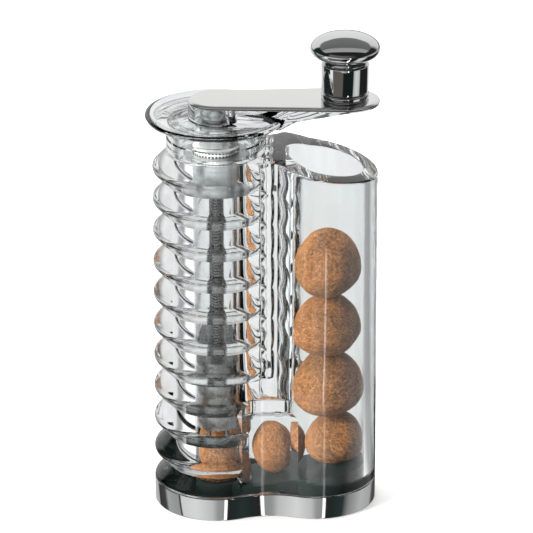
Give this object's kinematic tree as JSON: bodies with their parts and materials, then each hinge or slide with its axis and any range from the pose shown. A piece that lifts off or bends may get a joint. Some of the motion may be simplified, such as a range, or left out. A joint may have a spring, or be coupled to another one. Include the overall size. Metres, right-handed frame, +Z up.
{
  "type": "mechanical nutmeg grater",
  "caption": "Hand-cranked nutmeg grater with a clear ribbed mill lobe, a clear storage lobe for whole nutmegs, a chromed crank with a turning knob and a chromed base ring.",
  "frame": {"origin": "on the axis of the mill at the level that the base ring stands on", "axes": "+Z up along the mill's shaft, +X from the mill towards the storage lobe"},
  "size_m": [0.0858, 0.052, 0.1841],
  "materials": {
    "clear_acrylic": "polished",
    "chrome_plate": "mirror",
    "black_abs": "satin",
    "stainless_steel": "brushed",
    "satin_aluminium": "satin",
    "zinc_steel": "zinc plated",
    "spring_steel": "oiled",
    "white_acetal": "moulded",
    "nutmeg": "dry wrinkled seed"
  },
  "bodies": {
    "root": {"body_housing": "clear_acrylic", "base_ring": "chrome_plate", "base_insert": "black_abs", "base_screws": "zinc_steel", "grater_disc": "stainless_steel", "disc_screws": "zinc_steel", "mill_collar": "satin_aluminium", "neck_ring": "clear_acrylic", "bottom_nutmeg": "nutmeg", "third_nutmeg": "nutmeg", "second_nutmeg": "nutmeg", "top_nutmeg": "nutmeg", "feeding_nutmeg": "nutmeg", "ground_nutmeg": "nutmeg"},
    "rotor": {"drive_bush": "white_acetal", "bush_clip": "spring_steel", "thrust_washer": "zinc_steel", "drive_spring": "spring_steel"},
    "crank": {"drive_shaft": "zinc_steel", "pressure_cup": "stainless_steel", "claw_plate": "stainless_steel", "plunger_claws": "stainless_steel", "plunger_nut": "zinc_steel", "crank_arm": "clear_acrylic", "crank_strip": "chrome_plate", "crank_hub": "stainless_steel", "hub_screw": "satin_aluminium", "knob_washer": "chrome_plate", "knob_spindle": "zinc_steel", "spindle_clip": "spring_steel"},
    "knob": {"knob_stem": "chrome_plate", "knob_cap": "chrome_plate"}
  },
  "joints": [
    {"name": "crank_turn", "type": "hinge", "parent": "root", "child": "rotor", "pos_m": [0, 0, 0.14], "axis": [0, 0, 1], "continuous": true},
    {"name": "crank_lift", "type": "slide", "parent": "rotor", "child": "crank", "axis": [0, 0, 1], "range_m": [0, 0.03], "stiffness_N_per_m": 150, "springref_m": -0.04, "deforming": ["drive_spring"]},
    {"name": "knob_spin", "type": "hinge", "parent": "crank", "child": "knob", "pos_m": [0.047, 0, 0.16], "axis": [0, 0, 1], "continuous": true}
  ]
}
